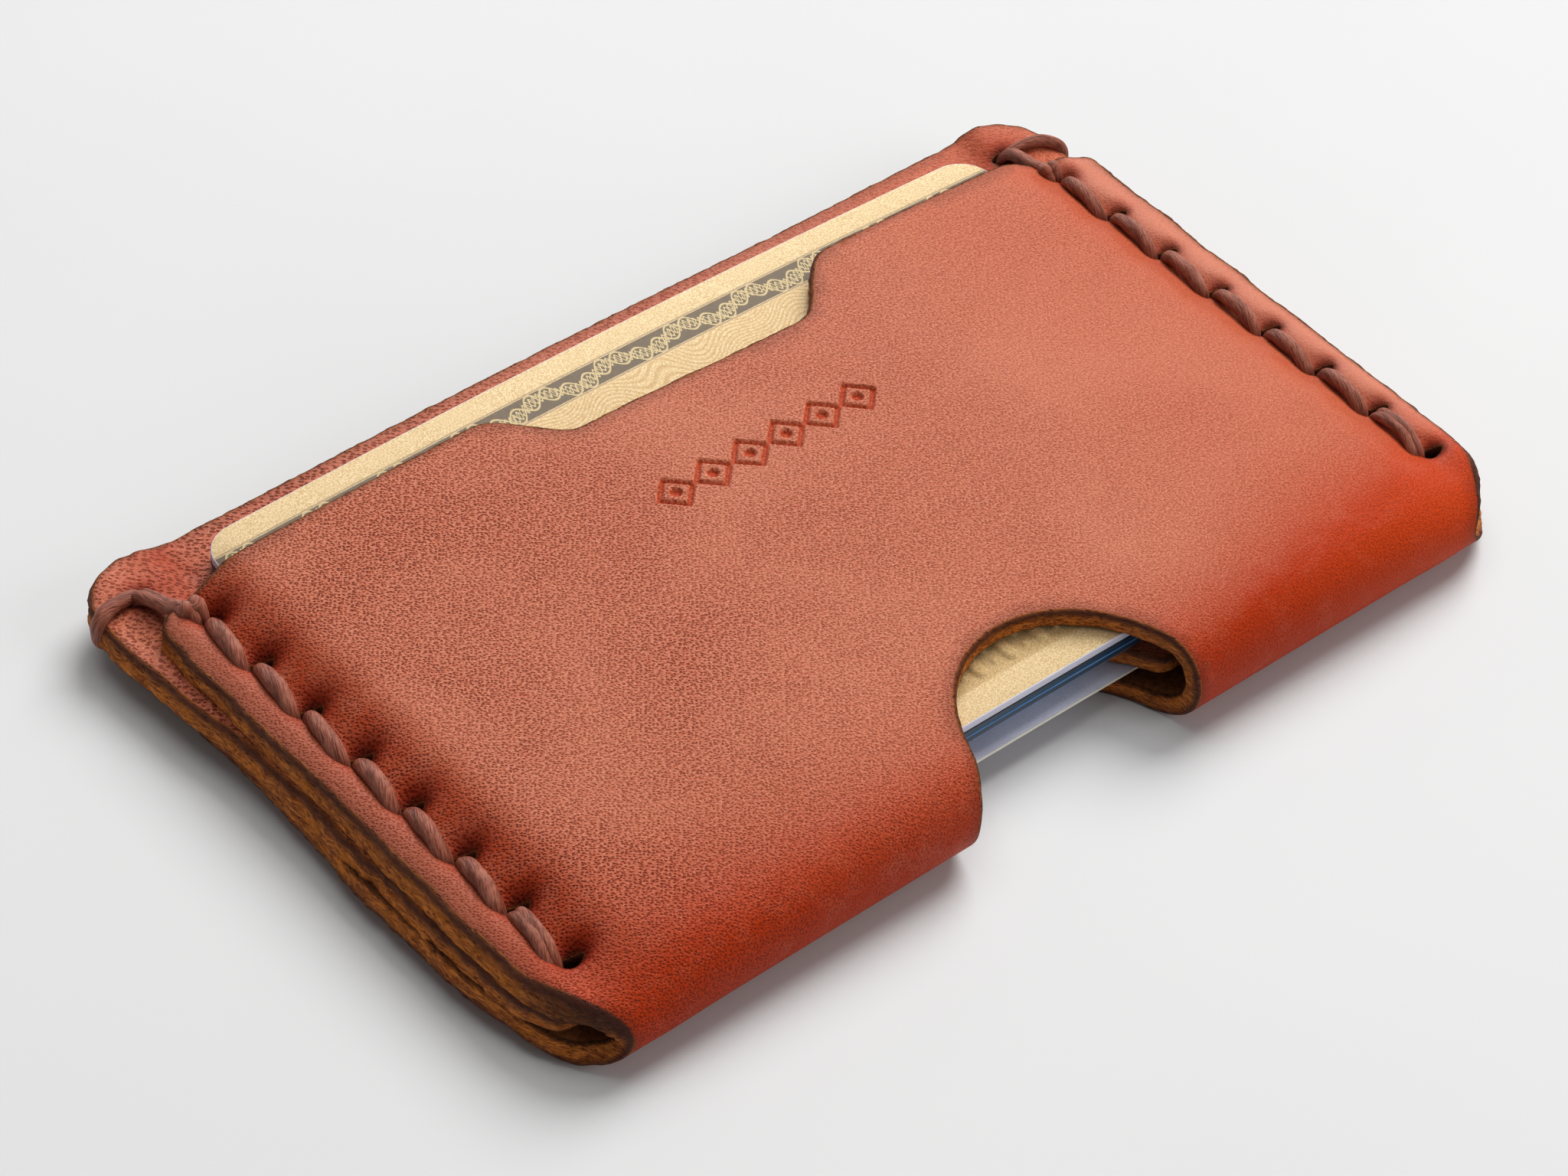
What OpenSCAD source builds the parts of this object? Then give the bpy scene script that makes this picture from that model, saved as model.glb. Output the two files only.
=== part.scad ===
// Folded leather card holder: one outer leather folded along its bottom edge, a taller leather
// divider stitched between its two panels, three plastic cards in the front pocket and one
// paper card in the back pocket. The holder lies on its back panel. +X runs along the fold,
// +Y points from the fold to the pocket openings and +Z points up through the front panel.
// The origin is on the resting plane, under the middle of the holder.

/* [Leather] */
// Thickness of every leather layer
leather_t = 1.8; // [1.6:0.1:2]
// Width of the front panel
front_w = 102.6; // [101:0.1:104]
// How much further each lower layer reaches past the one above it, on each side
edge_step = 0.9; // [0.3:0.1:1.1]
// Height of the front panel above the fold, at the middle of its top edge
front_h = 57.5; // [56:0.5:58]
// How much lower that edge is where it meets the side edges
front_crown = 2; // [1:0.1:2.5]
// Height of the back panel above the fold
back_h = 58; // [57:0.5:58.5]
// Height of the divider's top edge above the fold
divider_h = 65; // [64:0.5:67]
// Corner radius at the top of the divider
divider_corner_r = 6; // [5:0.5:10]
// Radius of the side edges where they run into the fold
fold_corner_r = 14.5; // [12:0.5:16]

/* [Thumb openings] */
// Radius of the thumb hole that is cut across the fold
thumb_hole_r = 12.5; // [10:0.5:14]
// How far right of the middle both thumb openings sit
thumb_x = 1; // [-2:0.5:2]
// Width of the notch at the front panel's top edge
notch_top_w = 37; // [30:1:40]
// Width of the notch at its flat bottom
notch_bottom_w = 23; // [16:1:26]
// Depth of the notch
notch_depth = 6.2; // [4:0.2:7]

/* [Stitching] */
// Distance of each stitch line from the middle
seam_x = 47.26; // [46.8:0.02:47.6]
// Height of the lowest stitch hole above the fold
first_hole_h = 8; // [7.5:0.1:8.5]
// Distance between stitch holes
stitch_pitch = 6.51; // [6.4:0.01:6.55]
// Number of stitch holes on each side
stitch_holes = 9; // [9:1:9]
// Diameter of the waxed thread
thread_d = 1.2; // [1:0.1:1.3]
// Depth that the thread pulls the leather in
groove_depth = 0.45; // [0.3:0.05:0.5]

/* [Cards] */
// Width of a plastic card
card_w = 85.6; // [85.4:0.1:85.8]
// Height of a plastic card
card_h = 53.98; // [53.8:0.02:54.1]
// Thickness of a plastic card
card_t = 0.76; // [0.68:0.02:0.8]
// Corner radius of a plastic card
card_corner_r = 3.18; // [2.9:0.02:3.4]
// Height of the plastic cards' lower edge above the fold
card_rest_h = 7.3; // [7:0.1:7.6]
// How far right of the middle the lowest plastic card sits
low_card_shift = 1; // [0:0.1:1.2]
// Width of the paper card
paper_w = 85; // [84:0.5:85.5]
// Height of the paper card
paper_h = 54; // [53:0.5:55]
// Thickness of the paper card
paper_t = 0.3; // [0.2:0.05:0.4]
// Height of the paper card's lower edge above the fold
paper_rest_h = 6.6; // [6.2:0.1:7]

/* [Hidden] */
$fn = 96;

// Room above, below and between cards, and above the embossing of the top card
card_gap = 0.1;
emboss_gap = 0.4;

// Heights of the layers in the middle, where the pockets are full
paper_z = leather_t + card_gap;
divider_z = paper_z + paper_t + card_gap;
blue_z = divider_z + leather_t + card_gap;
navy_z = blue_z + card_t + card_gap;
gold_z = navy_z + card_t + card_gap;
front_z = gold_z + card_t + emboss_gap;
total_t = front_z + leather_t;

// Heights of the layers at the side seams, where they lie on each other
seam_z = 1.2;
seam_divider_z = seam_z + leather_t;
seam_front_z = seam_divider_z + leather_t;
seam_top_z = seam_front_z + leather_t;
seam_mid_z = seam_divider_z + leather_t / 2;

// The seam is flat outside flange_x, and the pockets are full height inside pocket_x
seam_flat = 0.9;
pocket_room = 0.3;
flange_x = seam_x - seam_flat;
pocket_x = card_w / 2 + low_card_shift + pocket_room;

// Half widths of the layers, and the Y coordinate of the fold
front_half_w = front_w / 2;
divider_half_w = front_half_w + edge_step;
back_half_w = divider_half_w + edge_step;
fold_y = -divider_h / 2;

// The fold is half a tube, and the divider ends where it would meet the tube's inner face
fold_r = total_t / 2;
bore_r = fold_r - leather_t;
fold_clear = 0.3;
divider_bottom_h = fold_r - sqrt(pow(bore_r, 2) - pow(fold_r - divider_z, 2)) + fold_clear;

// Sizes for cutting tools and for rounding
past = 1;
far = 80;
fold_corner_h = 11;
notch_corner_r = 2.5;
top_edge_r = (pow(front_half_w, 2) + pow(front_crown, 2)) / (2 * front_crown);

// Thread and its holes and grooves
hole_d = thread_d + 0.3;
groove_w = 2 * thread_d + 0.3;
post_d = thread_d - 0.1;
strand_gap = thread_d / 2 + 0.02;
thread_clear = 0.12;
thread_sides = 8;
strand_end = 0.35 * thread_d;
past_front_h = front_h + 0.2;
past_back_h = back_h + 0.5;
last_hole_h = first_hole_h + (stitch_holes - 1) * stitch_pitch;
top_stitch_h = last_hole_h - stitch_pitch;
front_run_z = seam_top_z - groove_depth + thread_d / 2 + thread_clear;
back_run_z = seam_z + groove_depth - thread_d / 2 - thread_clear;
divider_run_top_z = seam_front_z + thread_d / 2 + thread_clear;
divider_run_low_z = seam_divider_z - thread_d / 2 - thread_clear;

// Details of the top card
chip_size = [12.4, 11.4];
chip_t = 0.3;
chip_left = 10;
chip_drop = 19.5;
stripe_h = 10.3;
stripe_drop = 5.2;
signature_size = [64, 9];
signature_drop = 20;
signature_shift = 4;
inlay_t = 0.12;

function up(h) = fold_y + h;

// A bar of the given XZ outline that runs the whole height of the holder
module along_y() {
    translate([0, far, 0]) rotate([90, 0, 0]) linear_extrude(2 * far) children();
}

// A bar of the given YZ outline that runs the whole width of the holder
module along_x() {
    translate([-far, 0, 0]) rotate([90, 0, 90]) linear_extrude(2 * far) children();
}

// Plan outline of a panel whose side edges curve in towards the fold
module panel_plan(half_w, top_h) {
    translate([0, fold_y])
        intersection() {
            translate([-half_w, -past]) square([2 * half_w, top_h + past]);
            union() {
                translate([-half_w, fold_corner_h]) square([2 * half_w, far]);
                translate([fold_corner_r - half_w, -past])
                    square([2 * (half_w - fold_corner_r), far]);
                for (side = [-1, 1])
                    translate([side * (half_w - fold_corner_r), fold_corner_h])
                        circle(fold_corner_r);
            }
        }
}

// Plan outline of a rectangle with round corners, centred on x = 0 above y = 0
module round_rect(w, h, r) {
    translate([-w / 2, r]) square([w, h - 2 * r]);
    translate([r - w / 2, 0]) square([w - 2 * r, h]);
    for (side = [-1, 1])
        for (y = [r, h - r])
            translate([side * (w / 2 - r), y]) circle(r);
}

// XZ outline between a lower and an upper face, each flat at the seams and at the pockets
module layered_outline(half_w, low_seam, low_pocket, high_seam, high_pocket) {
    polygon([
        [-half_w, low_seam], [-flange_x, low_seam], [-pocket_x, low_pocket],
        [pocket_x, low_pocket], [flange_x, low_seam], [half_w, low_seam],
        [half_w, high_seam], [flange_x, high_seam], [pocket_x, high_pocket],
        [-pocket_x, high_pocket], [-flange_x, high_seam], [-half_w, high_seam]
    ]);
}

// YZ outline with a half-round end of radius r on the fold's axis
module folded_outline(r) {
    translate([up(fold_r), fold_r]) {
        circle(r);
        translate([0, -r]) square([far, 2 * r]);
    }
}

// The notch's outline: slanting sides, with its two lower corners rounded
module notch_outline() {
    rise = notch_depth;
    run = (notch_top_w - notch_bottom_w) / 2;
    slope = atan2(rise, run);
    inset = notch_corner_r * tan(slope / 2);
    difference() {
        polygon([
            [-notch_bottom_w / 2, 0], [notch_bottom_w / 2, 0],
            [notch_bottom_w / 2 + 2 * run, 2 * rise], [-notch_bottom_w / 2 - 2 * run, 2 * rise]
        ]);
        for (flip = [0, 1])
            mirror([flip, 0])
                difference() {
                    translate([notch_bottom_w / 2 - inset, -past])
                        square([inset + past, notch_corner_r * (1 - cos(slope)) + past]);
                    translate([notch_bottom_w / 2 - inset, notch_corner_r]) circle(notch_corner_r);
                }
    }
}

module stitch_hole_cutters() {
    for (side = [-1, 1])
        for (i = [0 : stitch_holes - 1])
            translate([side * seam_x, up(first_hole_h + i * stitch_pitch), -past])
                cylinder(h = total_t + 2 * past, d = hole_d);
}

module thumb_hole_cutter() {
    translate([thumb_x, fold_y, -past]) cylinder(h = total_t + 2 * past, r = thumb_hole_r);
}

// Front panel, fold and back panel: one piece of leather
module outer_shell() {
    color("peru")
    difference() {
        intersection() {
            along_y() layered_outline(back_half_w, seam_z, 0, seam_top_z, total_t);
            along_x() folded_outline(fold_r);
            union() {
                translate([0, 0, seam_mid_z])
                    linear_extrude(far) panel_plan(front_half_w, front_h);
                translate([0, 0, seam_mid_z - far])
                    linear_extrude(far) panel_plan(back_half_w, back_h);
            }
            union() {
                translate([0, up(front_h) - top_edge_r, 0])
                    cylinder(h = far, r = top_edge_r, $fn = 720);
                translate([-far, -far, -past])
                    cube([2 * far, 2 * far, seam_mid_z + past]);
            }
        }
        intersection() {
            along_y() layered_outline(far, seam_divider_z, leather_t, seam_front_z, front_z);
            along_x() folded_outline(bore_r);
        }
        thumb_hole_cutter();
        translate([thumb_x, up(front_h - notch_depth), fold_r])
            linear_extrude(far) notch_outline();
        stitch_hole_cutters();
        for (side = [-1, 1]) {
            translate([side * seam_x - groove_w / 2, up(first_hole_h) - hole_d,
                       seam_top_z - groove_depth])
                cube([groove_w, far, far]);
            translate([side * seam_x - groove_w / 2, up(first_hole_h) - hole_d,
                       seam_z + groove_depth - far])
                cube([groove_w, far, far]);
        }
    }
}

// The taller leather between the two panels
module divider() {
    color("sienna")
    difference() {
        intersection() {
            along_y() layered_outline(divider_half_w, seam_divider_z, divider_z,
                                      seam_front_z, divider_z + leather_t);
            linear_extrude(far)
                intersection() {
                    panel_plan(divider_half_w, divider_h);
                    translate([0, fold_y])
                        round_rect(2 * divider_half_w, divider_h, divider_corner_r);
                    translate([-far, up(divider_bottom_h)]) square(2 * far);
                }
        }
        thumb_hole_cutter();
        stitch_hole_cutters();
    }
}

// A straight length of thread between two points, which runs a little past both
module strand(from, to) {
    run = to - from;
    length = norm(run);
    translate(from)
        rotate([0, acos(run[2] / length), atan2(run[1], run[0])])
            translate([0, 0, -strand_end])
                cylinder(h = length + 2 * strand_end, d = thread_d, $fn = thread_sides);
}

// The length of thread inside a stitch hole
module post(x, y, low_z, high_z) {
    translate([x, y, low_z]) cylinder(h = high_z - low_z, d = post_d, $fn = thread_sides);
}

// Two strands side by side, joined at both ends
module double_strand(x, from_y, to_y, from_z, to_z) {
    for (offset_x = [-strand_gap, strand_gap])
        strand([x + offset_x, from_y, from_z], [x + offset_x, to_y, to_z]);
    strand([x - strand_gap, from_y, from_z], [x + strand_gap, from_y, from_z]);
    strand([x - strand_gap, to_y, to_z], [x + strand_gap, to_y, to_z]);
}

// One side's thread: it runs along both faces and down through every hole, is doubled over the
// front panel's top edge and wraps round the divider's side edge
module thread(side) {
    x = side * seam_x;
    low_y = up(first_hole_h);
    second_y = low_y + stitch_pitch;
    top_y = up(top_stitch_h);
    last_y = up(last_hole_h);
    past_front_y = up(past_front_h);
    past_back_y = up(past_back_h);
    corner_rise = last_hole_h - thread_d / 2 - (divider_h - divider_corner_r);
    corner_in = divider_corner_r - sqrt(pow(divider_corner_r, 2) - pow(corner_rise, 2));
    wrap_x = side * (divider_half_w - corner_in + thread_d / 2 + thread_clear);

    color("rosybrown")
    union() {
        strand([x, second_y, front_run_z], [x, top_y, front_run_z]);
        strand([x, low_y, back_run_z], [x, past_back_y, back_run_z]);
        strand([x, past_back_y, back_run_z], [x, last_y, divider_run_low_z]);
        for (i = [0 : stitch_holes - 2])
            post(x, up(first_hole_h + i * stitch_pitch), back_run_z, front_run_z);
        post(x, last_y, divider_run_low_z, divider_run_top_z);
        double_strand(x, low_y, second_y, front_run_z, front_run_z);
        double_strand(x, top_y, past_front_y, front_run_z, front_run_z);
        double_strand(x, past_front_y, last_y, front_run_z, divider_run_top_z);
        strand([x, last_y, divider_run_top_z], [wrap_x, last_y, divider_run_top_z]);
        strand([wrap_x, last_y, divider_run_top_z], [wrap_x, last_y, divider_run_low_z]);
        strand([wrap_x, last_y, divider_run_low_z], [x, last_y, divider_run_low_z]);
    }
}

module thread_left() {
    thread(-1);
}

module thread_right() {
    thread(1);
}

module plastic_card(x, z) {
    translate([x, up(card_rest_h), z])
        linear_extrude(card_t) round_rect(card_w, card_h, card_corner_r);
}

// The top card's inlaid pieces, measured from its upper left corner. Each block is as deep as its
// piece plus the given extra, which a cutter uses to run out through the card's face.
module chip_block(extra) {
    translate([chip_left - card_w / 2, up(card_rest_h + card_h - chip_drop) - chip_size[1],
               gold_z + card_t - chip_t])
        cube([chip_size[0], chip_size[1], chip_t + extra]);
}

module stripe_block(extra) {
    translate([-card_w / 2 - extra, up(card_rest_h + card_h - stripe_drop) - stripe_h,
               gold_z - extra])
        cube([card_w + 2 * extra, stripe_h, inlay_t + extra]);
}

module signature_block(extra) {
    translate([-signature_size[0] / 2 - signature_shift,
               up(card_rest_h + card_h - signature_drop) - signature_size[1], gold_z - extra])
        cube([signature_size[0], signature_size[1], inlay_t + extra]);
}

// Top card: laminated plastic with pockets for its chip, magnetic stripe and signature panel
module gold_card() {
    color("gold")
    difference() {
        plastic_card(0, gold_z);
        chip_block(past);
        stripe_block(past);
        signature_block(past);
    }
}

module gold_card_chip() {
    color("silver") chip_block(0);
}

module gold_card_stripe() {
    color("black") stripe_block(0);
}

module gold_card_signature() {
    color("white") signature_block(0);
}

module navy_card() {
    color("midnightblue") plastic_card(0, navy_z);
}

module blue_card() {
    color("steelblue") plastic_card(low_card_shift, blue_z);
}

// Thin card in the back pocket
module paper_card() {
    color("lavender")
        translate([-paper_w / 2, up(paper_rest_h), paper_z]) cube([paper_w, paper_h, paper_t]);
}

outer_shell();
divider();
thread_left();
thread_right();
gold_card();
gold_card_chip();
gold_card_stripe();
gold_card_signature();
navy_card();
blue_card();
paper_card();
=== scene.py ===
"""Leather card holder with three plastic cards and a paper card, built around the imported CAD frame.

Lengths inside this script are millimetres, in the row's own frame: +X runs along the fold, +Y from
the fold to the pocket openings and +Z up. A height h is a distance from the fold along +Y. Meshes
are turned into metres where they are made.
"""

import math
from dataclasses import dataclass

import bpy
import numpy as np
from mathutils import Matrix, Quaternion, Vector
from mathutils.geometry import delaunay_2d_cdt


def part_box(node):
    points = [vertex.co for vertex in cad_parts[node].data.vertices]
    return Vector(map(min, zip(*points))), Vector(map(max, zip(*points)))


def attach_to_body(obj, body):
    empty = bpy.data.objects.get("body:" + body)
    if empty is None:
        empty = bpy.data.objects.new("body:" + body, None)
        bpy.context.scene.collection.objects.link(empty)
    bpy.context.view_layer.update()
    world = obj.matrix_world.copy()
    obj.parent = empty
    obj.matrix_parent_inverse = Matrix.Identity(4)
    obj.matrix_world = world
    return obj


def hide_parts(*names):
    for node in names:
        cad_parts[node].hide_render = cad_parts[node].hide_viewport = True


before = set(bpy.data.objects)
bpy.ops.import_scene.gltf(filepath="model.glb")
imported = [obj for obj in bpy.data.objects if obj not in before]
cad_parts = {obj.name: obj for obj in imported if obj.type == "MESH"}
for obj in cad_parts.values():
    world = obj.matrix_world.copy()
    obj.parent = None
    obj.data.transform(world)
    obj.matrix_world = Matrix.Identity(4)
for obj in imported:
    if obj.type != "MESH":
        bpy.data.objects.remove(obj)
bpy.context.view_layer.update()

MM = 0.001


def add_object(name, data):
    """A new object in the scene that shows this mesh, lamp or camera."""
    thing = bpy.data.objects.new(name, data)
    bpy.context.scene.collection.objects.link(thing)
    return thing


def attach(piece, body, node):
    """Says which body a piece rides on, which CAD node it replaces."""
    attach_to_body(piece, body)
    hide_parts(node)

# ---------------- camera

CAMERA_AIM = (-6.3, -2.7, 4.5)
CAMERA_AZIMUTH = -44.69
CAMERA_ELEVATION = 43.79
CAMERA_ROLL = 5.47
CAMERA_DISTANCE = 381.1
CAMERA_LENS = 106.53


def add_camera():
    """A long lens over the holder's front left corner, slightly rolled."""
    azimuth, elevation = math.radians(CAMERA_AZIMUTH), math.radians(CAMERA_ELEVATION)
    level = math.cos(elevation)
    back = Vector((math.sin(azimuth) * level, -math.cos(azimuth) * level, math.sin(elevation)))
    data = bpy.data.cameras.new("camera")
    data.lens = CAMERA_LENS
    data.sensor_width = 36.0
    data.clip_start = 0.01
    data.clip_end = 20.0
    camera = add_object("camera", data)
    camera.location = (Vector(CAMERA_AIM) + back * CAMERA_DISTANCE) * MM
    camera.rotation_mode = "QUATERNION"
    facing = (-back).to_track_quat("-Z", "Y")
    camera.rotation_quaternion = facing @ Quaternion((0, 0, 1), math.radians(CAMERA_ROLL))
    bpy.context.scene.camera = camera


add_camera()

# ---------------- sizes from the frame


def node_box(node):
    """Lowest and highest corner of a CAD node, in millimetres."""
    low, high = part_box(node)
    return np.array(low) / MM, np.array(high) / MM


SHELL_LOW, SHELL_HIGH = node_box("outer_shell")
DIVIDER_HIGH = node_box("divider")[1]
GOLD_LOW, GOLD_HIGH = node_box("gold_card")
PAPER_LOW, PAPER_HIGH = node_box("paper_card")

LEATHER = 1.8
BEVEL = 0.36
FOLD_Y = SHELL_LOW[1]
FOLD_R = SHELL_HIGH[2] / 2
ARC = FOLD_R * math.pi / 2
BACK_HALF_W = SHELL_HIGH[0]
DIVIDER_HALF_W = DIVIDER_HIGH[0]
FRONT_HALF_W = 2 * DIVIDER_HALF_W - BACK_HALF_W
BACK_H = SHELL_HIGH[1] - FOLD_Y
DIVIDER_H = DIVIDER_HIGH[1] - FOLD_Y
FRONT_H = 56.85
FRONT_CROWN = 1.9
CORNER_R = 14.5
CORNER_H = 11.0
THUMB_X = 1.0
THUMB_R = 12.5
NOTCH_DEPTH = 5.5
NOTCH_SLOPE = 0.5

SEAM_X = 47.26
HOLE_COUNT = 9
HOLE_PITCH = 6.51
FIRST_HOLE_H = 8.0
HOLE_SHIFT = 0.55
HOLE_LENGTH = 2.6
HOLE_WIDTH = 1.25
HOLE_TILT = math.radians(-13)
FREE_HOLE_X = {-1: -49.2, 1: 46.6}
FREE_HOLE_H = 60.2

# Levels at the seams, then the lower faces of the pieces in the middle, before the cards' bow
SEAM_BACK = 1.2
SEAM_DIVIDER = SEAM_BACK + LEATHER
SEAM_FRONT = SEAM_DIVIDER + LEATHER
SEAM_TOP = SEAM_FRONT + LEATHER
SLACK = 0.02
PLASTIC = GOLD_HIGH[2] - GOLD_LOW[2]
PAPER = PAPER_HIGH[2] - PAPER_LOW[2]
PAPER_Z = LEATHER + 2 * SLACK
DIVIDER_Z = PAPER_Z + PAPER + 2 * SLACK
BLUE_Z = DIVIDER_Z + LEATHER + SLACK
NAVY_Z = BLUE_Z + PLASTIC + SLACK
GOLD_Z = NAVY_Z + PLASTIC + SLACK
EMBOSS_ROOM = 0.27
FRONT_TOP = GOLD_Z + PLASTIC + EMBOSS_ROOM + LEATHER
CARD_HALF_W = (GOLD_HIGH[0] - GOLD_LOW[0]) / 2
CARD_CORNER_R = 3.1
BOW = 0.8

# ---------------- shape helpers


def step(low, high, value):
    """0 below low, 1 above high and smooth between."""
    t = np.clip((np.asarray(value, float) - low) / (high - low), 0, 1)
    return t * t * (3 - 2 * t)


def hump(value, centre, width):
    """A bell of height 1."""
    return np.exp(-(((value - centre) / width) ** 2))


WAVE_COUNT = 8


def waves(points, size, seed):
    """Smooth irregular height, mostly within -1 to 1, whose features are about size across."""
    rng = np.random.default_rng(seed)
    total = np.zeros(len(points))
    for _ in range(WAVE_COUNT):
        direction = rng.normal(size=points.shape[1])
        direction /= np.linalg.norm(direction)
        turns = rng.uniform(0.6, 1.7) / size
        phase = rng.uniform(0, 2 * math.pi)
        total += np.sin(2 * math.pi * turns * (points @ direction) + phase)
    return total / math.sqrt(WAVE_COUNT)


def resample(points, spacing, closed=True):
    """The same line with points at an even spacing."""
    points = np.asarray(points, float)
    line = np.vstack([points, points[:1]]) if closed else points
    lengths = np.linalg.norm(np.diff(line, axis=0), axis=1)
    along = np.concatenate([[0], np.cumsum(lengths)])
    count = max(int(round(along[-1] / spacing)), 4)
    at = np.linspace(0, along[-1], count + 1)
    even = np.stack([np.interp(at, along, line[:, k]) for k in range(line.shape[1])], axis=1)
    return even[:-1] if closed else even


def relax(points, times):
    """Rounds the corners of a closed line."""
    for _ in range(times):
        points = (np.roll(points, 1, axis=0) + 2 * points + np.roll(points, -1, axis=0)) / 4
    return points


def outward(loop):
    """Unit normals that point away from the material on the loop's left."""
    along = np.roll(loop, -1, axis=0) - np.roll(loop, 1, axis=0)
    normal = np.stack([along[:, 1], -along[:, 0]], axis=1)
    return normal / np.linalg.norm(normal, axis=1, keepdims=True)


def lattice(low, high, spacing):
    """Hexagonal grid of points."""
    rows = np.arange(low[1], high[1], spacing * math.sqrt(3) / 2)
    columns = np.arange(low[0], high[0], spacing)
    x, y = np.meshgrid(columns, rows)
    x = x + np.where(np.arange(len(rows)) % 2, spacing / 2, 0)[:, None]
    return np.stack([x.ravel(), y.ravel()], axis=1)


def inside(points, loops):
    """True where a point is in the area that the loops bound, by counting crossings."""
    odd = np.zeros(len(points), bool)
    x, y = points.T
    for loop in loops:
        for (x0, y0), (x1, y1) in zip(loop, np.roll(loop, -1, axis=0)):
            crosses = (y >= min(y0, y1)) & (y < max(y0, y1))
            if crosses.any():
                odd[crosses] ^= x[crosses] < x0 + (y[crosses] - y0) * (x1 - x0) / (y1 - y0)
    return odd


def clear_of(points, loops, distance):
    """True where a point is further than distance from every loop's points."""
    keep = np.ones(len(points), bool)
    for loop in loops:
        low, high = loop.min(axis=0) - distance, loop.max(axis=0) + distance
        near = np.flatnonzero(keep & ((points >= low) & (points <= high)).all(axis=1))
        for start in range(0, len(near), 2000):
            part = near[start:start + 2000]
            gaps = points[part][:, None, :] - loop[None, :, :]
            keep[part] = ((gaps ** 2).sum(axis=2) > distance ** 2).all(axis=1)
    return keep


def triangulate(loops, points):
    """Triangles over the area that the loops bound, using the loops' points and then the others."""
    everything = np.vstack([*loops, points])
    edges = []
    for loop in loops:
        ids = np.arange(len(loop)) + len(edges)
        edges += np.column_stack([ids, np.roll(ids, -1)]).tolist()
    found = delaunay_2d_cdt([Vector(p) for p in everything], edges, [], 0, 1e-6)
    sources = [ids[0] if ids else -1 for ids in found[3]]
    triangles = np.array([[sources[v] for v in face] for face in found[2] if len(face) == 3])
    triangles = triangles[(triangles >= 0).all(axis=1)]
    centres = everything[triangles].mean(axis=1)
    triangles = triangles[inside(centres, loops)]
    a, b, c = (everything[triangles[:, k]] for k in range(3))
    (bx, by), (cx, cy) = (b - a).T, (c - a).T
    turn = bx * cy - by * cx
    triangles[turn < 0] = triangles[turn < 0][:, ::-1]
    return everything, triangles[np.abs(turn) > 1e-9]


@dataclass
class Rim:
    """A loop of a sheet's outline, and how the sheet's cut edge is shaped along it.

    The profile lists (outset, depth, bevel) from the outer face to the inner one: outset is in
    millimetres, depth runs from 0 to 1 and bevel marks the burnished corner. slant is how much
    further out the inner face ends, and rough is the height of the fibre on the cut edge."""

    points: np.ndarray
    profile: list
    slant: object = 0.0
    rough: float = 0.0
    seed: int = 1


CUT_EDGE = [
    (0, 0, 0.5), (0.14, 0.012, 0.9), (0.25, 0.05, 1), (0.33, 0.12, 1), (0.36, 0.22, 0.75),
    (0.37, 0.36, 0.25), (0.36, 0.5, 0), (0.37, 0.64, 0), (0.35, 0.78, 0), (0.27, 0.9, 0),
    (0.1, 0.97, 0), (-0.12, 1, 0),
]
HOLE_EDGE = [
    (0, 0, 0.6), (0.08, 0.02, 1), (0.14, 0.1, 1), (0.16, 0.3, 1), (0.15, 0.6, 1), (0.1, 0.9, 1),
    (0, 1, 1),
]
CARD_EDGE = [
    (0, 0, 0), (0.05, 0.02, 0), (0.08, 0.1, 0), (0.09, 0.3, 0), (0.09, 0.5, 0), (0.09, 0.7, 0),
    (0.08, 0.9, 0), (0.05, 0.98, 0), (0, 1, 0),
]
CHIP_EDGE = [(0, 0, 0), (0.05, 0.2, 0), (0.05, 0.8, 0), (0, 1, 0)]
COAT_EDGE = [(0, 0, 0), (0.02, 0.3, 0), (0.02, 0.7, 0), (0, 1, 0)]


def make_object(name, vertices, faces, materials, face_slots, values):
    """A smooth-shaded mesh object in metres, with float attributes on its vertices."""
    mesh = bpy.data.meshes.new(name)
    mesh.from_pydata((vertices * MM).tolist(), [], faces)
    for material in materials:
        mesh.materials.append(material)
    mesh.polygons.foreach_set("material_index", np.asarray(face_slots, np.int32))
    mesh.polygons.foreach_set("use_smooth", np.ones(len(faces), bool))
    for label, numbers in values.items():
        attribute = mesh.attributes.new(label, "FLOAT", "POINT")
        attribute.data.foreach_set("value", np.asarray(numbers, np.float32))
    mesh.update()
    return add_object(name, mesh)


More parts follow.
